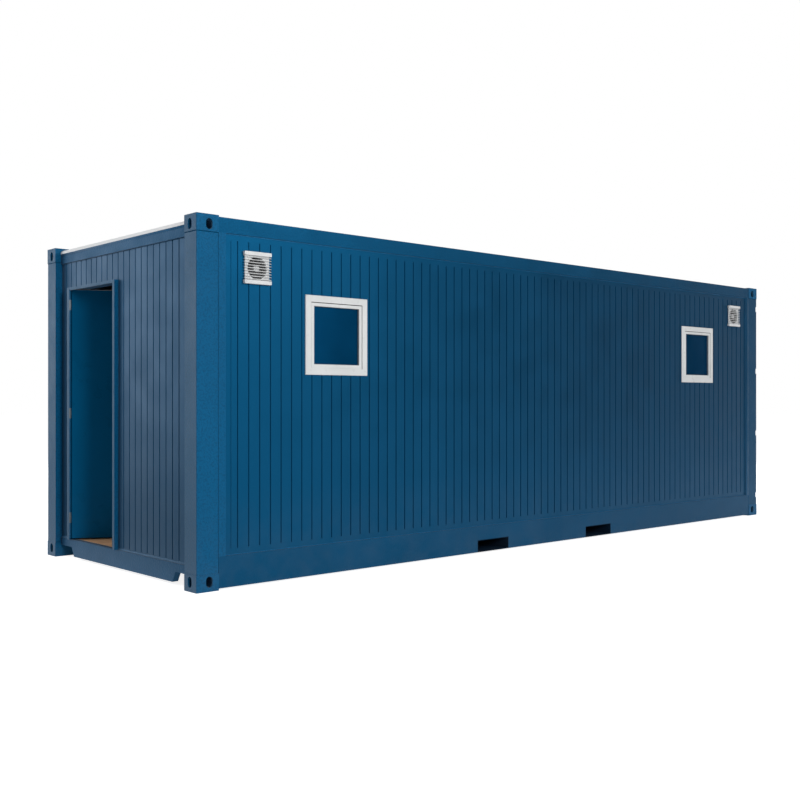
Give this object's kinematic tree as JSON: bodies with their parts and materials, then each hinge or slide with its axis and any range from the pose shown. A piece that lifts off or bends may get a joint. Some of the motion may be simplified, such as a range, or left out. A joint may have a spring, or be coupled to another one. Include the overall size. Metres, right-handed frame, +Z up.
{
  "type": "shipping container cabin",
  "caption": "Steel cabin on a container frame with corner castings, grooved walls, small windows, ventilators, fork pockets and a hinged entrance door at one end.",
  "frame": {"origin": "on the ground, at the middle of the four bottom twistlock apertures", "axes": "+X along the cabin from the door end to the far end, +Y from the window wall to the back wall, +Z up"},
  "size_m": [7.335, 2.451, 2.591],
  "materials": {
    "blue_paint": "satin blue enamel on the frame",
    "blue_sheet": "satin coil-coated wall sheet",
    "door_blue": "satin blue door skin",
    "roof_white": "white coated roof sheet",
    "lining": "grey insulated lining board",
    "floor_board": "brown floor board",
    "window_white": "white window profile",
    "pane": "dark obscured glazing",
    "vent_white": "white ventilator moulding",
    "steel": "bare steel door fittings"
  },
  "bodies": {
    "cabin": {"corner_castings_bottom": "blue_paint", "corner_castings_top": "blue_paint", "corner_post_door_front": "blue_paint", "corner_post_door_back": "blue_paint", "corner_post_far_front": "blue_paint", "corner_post_far_back": "blue_paint", "base_rail_front": "blue_paint", "base_rail_back": "blue_paint", "base_rail_door_end": "blue_paint", "base_rail_far_end": "blue_paint", "fork_pockets": "blue_paint", "floor_cross_members": "blue_paint", "floor_deck": "floor_board", "roof_rail_front": "blue_paint", "roof_rail_back": "blue_paint", "roof_rail_door_end": "blue_paint", "roof_rail_far_end": "blue_paint", "roof_sheet": "roof_white", "roof_end_caps": "roof_white", "ceiling_panel": "lining", "wall_stiles": "blue_paint", "front_wall_sheet": "blue_sheet", "front_wall_core": "lining", "back_wall_sheet": "blue_sheet", "back_wall_core": "lining", "far_wall_sheet": "blue_sheet", "far_wall_core": "lining", "door_wall_sheet": "blue_sheet", "door_wall_core_hinge_side": "lining", "door_wall_core_latch_side": "lining", "door_wall_core_over_door": "lining", "door_frame": "blue_paint", "door_hinge_plates": "steel", "window_frame_left": "window_white", "window_frame_right": "window_white", "window_sash_left": "window_white", "window_sash_right": "window_white", "window_pane_left": "pane", "window_pane_right": "pane", "ventilator_grille_left": "vent_white", "ventilator_grille_right": "vent_white", "ventilator_motor_left": "vent_white", "ventilator_motor_right": "vent_white"},
    "door": {"door_leaf": "door_blue", "door_hinge_leaves": "steel", "door_handle": "steel"}
  },
  "joints": [
    {"name": "door_swing", "type": "hinge", "parent": "cabin", "child": "door", "pos_m": [-3.6365, 0.837, 0], "axis": [0, 0, 1], "range_deg": [-60, 30]}
  ]
}
